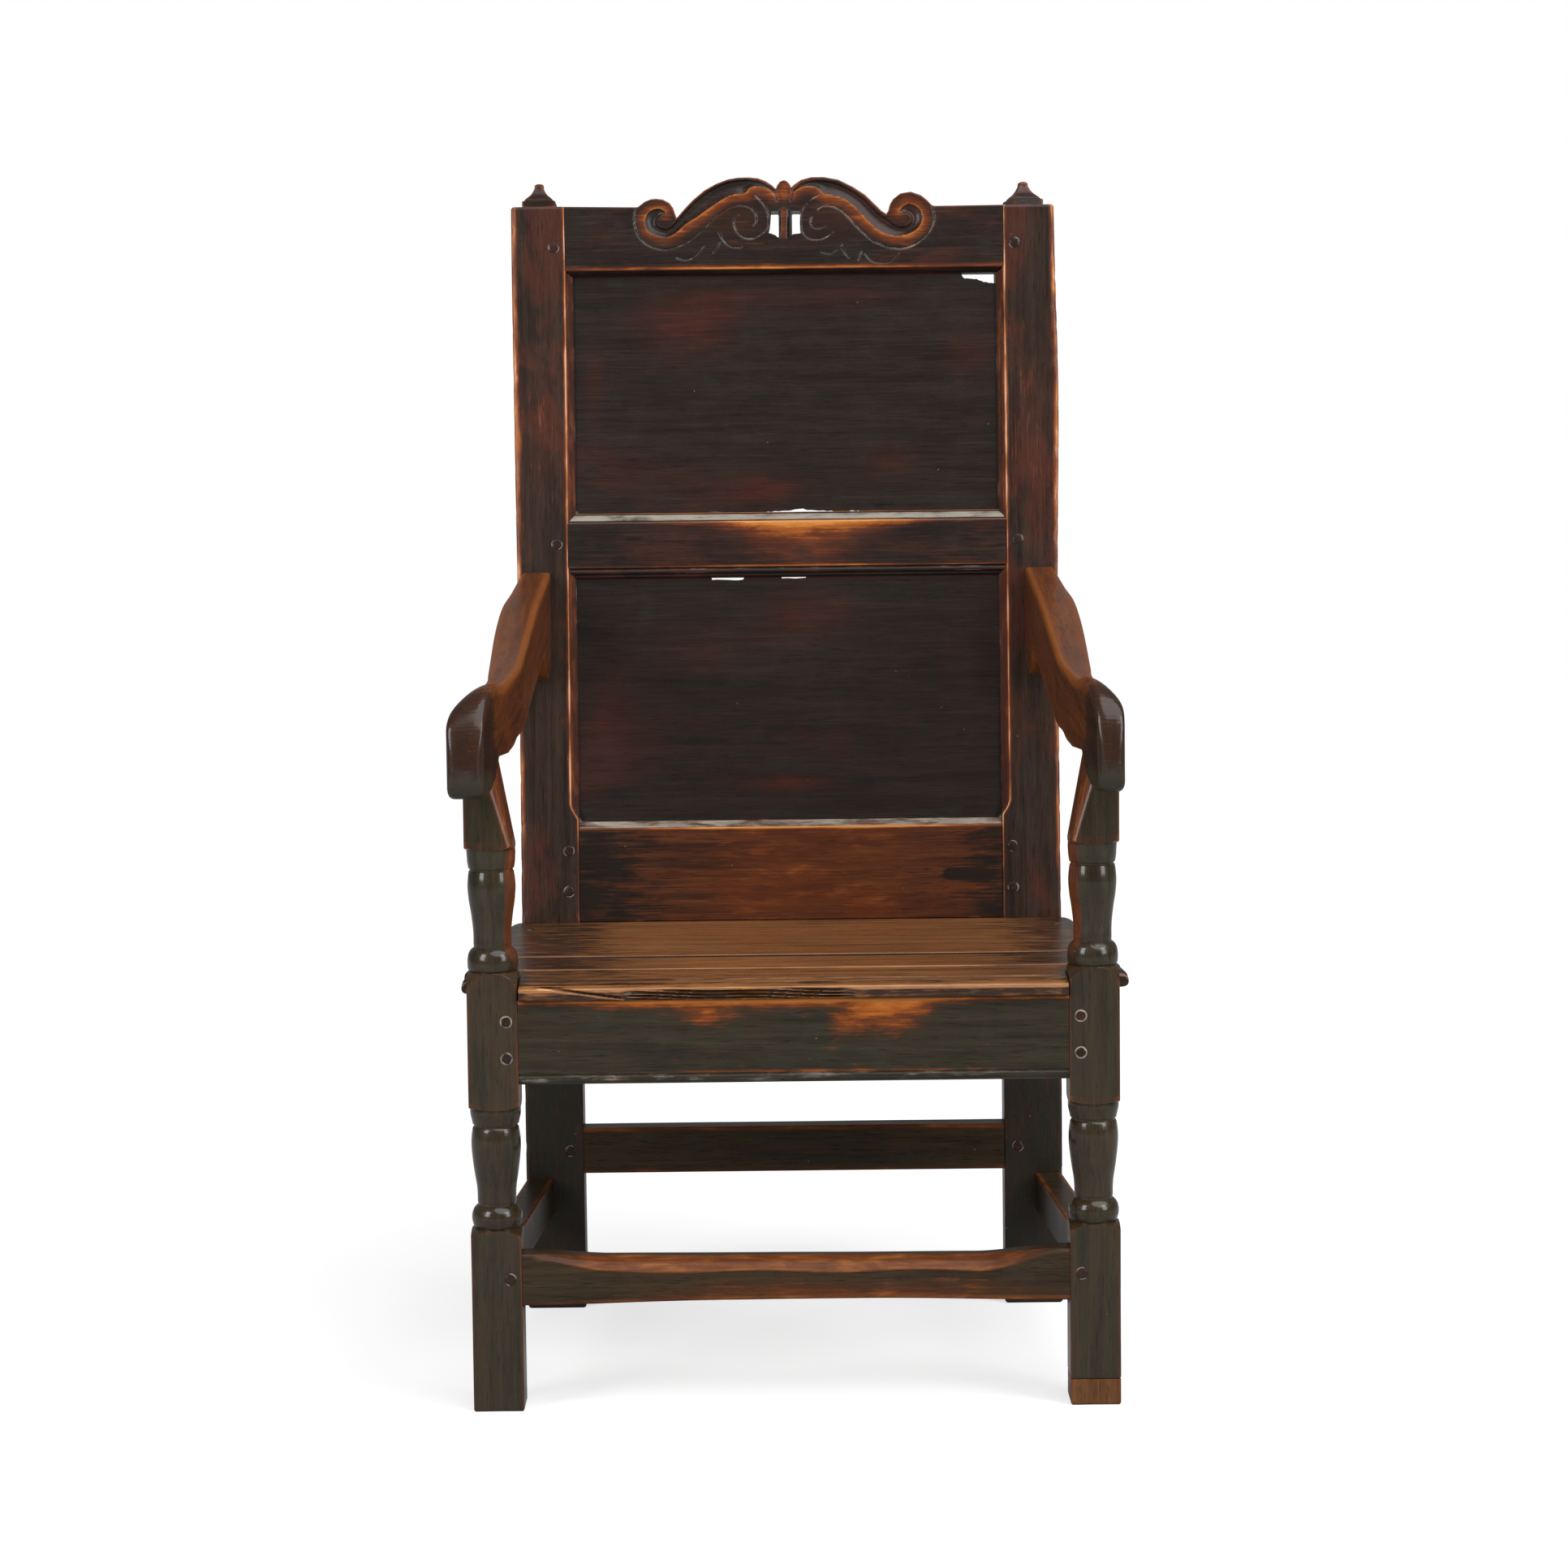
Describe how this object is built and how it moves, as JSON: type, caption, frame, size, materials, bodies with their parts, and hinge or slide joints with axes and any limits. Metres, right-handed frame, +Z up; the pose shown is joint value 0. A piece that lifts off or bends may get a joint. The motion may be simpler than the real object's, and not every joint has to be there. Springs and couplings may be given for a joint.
{
  "type": "armchair",
  "caption": "Joined oak armchair with a raked panelled back under a carved scroll cresting, shaped open arms on turned front legs, a boarded seat and low stretchers.",
  "frame": {"origin": "centre of the bounding box at floor level", "axes": "+Z is up, the sitter faces -Y, +X is at the right hand of someone looking at the front"},
  "size_m": [0.604, 0.5906, 1.1158],
  "materials": {
    "frame_oak": "dark waxed oak, almost black, rubbed to red-brown on the arrises",
    "panel_oak": "dark waxed oak board",
    "seat_oak": "polished brown oak",
    "arm_oak": "polished brown oak",
    "leg_oak": "dark waxed oak, greyer and dusty near the floor",
    "peg_oak": "oak end grain, waxed",
    "repair_oak": "lighter brown oak"
  },
  "bodies": {
    "root": {"arm_left": "arm_oak", "arm_right": "arm_oak", "back_post_left": "frame_oak", "back_post_right": "frame_oak", "crest_rail": "frame_oak", "finial_left": "frame_oak", "finial_right": "frame_oak", "foot_tip_right": "repair_oak", "front_leg_left": "leg_oak", "front_leg_right": "leg_oak", "front_seat_rail": "frame_oak", "front_stretcher": "leg_oak", "lower_back_rail": "frame_oak", "lower_panel": "panel_oak", "mid_rail": "frame_oak", "pegs_arm_left": "peg_oak", "pegs_arm_right": "peg_oak", "pegs_crest_rail": "peg_oak", "pegs_front_seat_rail": "peg_oak", "pegs_front_stretcher": "peg_oak", "pegs_lower_back_rail": "peg_oak", "pegs_mid_rail": "peg_oak", "pegs_rear_seat_rail": "peg_oak", "pegs_rear_stretcher": "peg_oak", "pegs_seat": "peg_oak", "pegs_side_seat_rail_left": "peg_oak", "pegs_side_seat_rail_right": "peg_oak", "pegs_side_stretcher_left": "peg_oak", "pegs_side_stretcher_right": "peg_oak", "rear_seat_rail": "frame_oak", "rear_stretcher": "leg_oak", "seat_board_front": "seat_oak", "seat_board_middle": "seat_oak", "seat_board_rear": "seat_oak", "side_seat_rail_left": "frame_oak", "side_seat_rail_right": "frame_oak", "side_stretcher_left": "leg_oak", "side_stretcher_right": "leg_oak", "upper_panel": "panel_oak"}
  },
  "joints": []
}
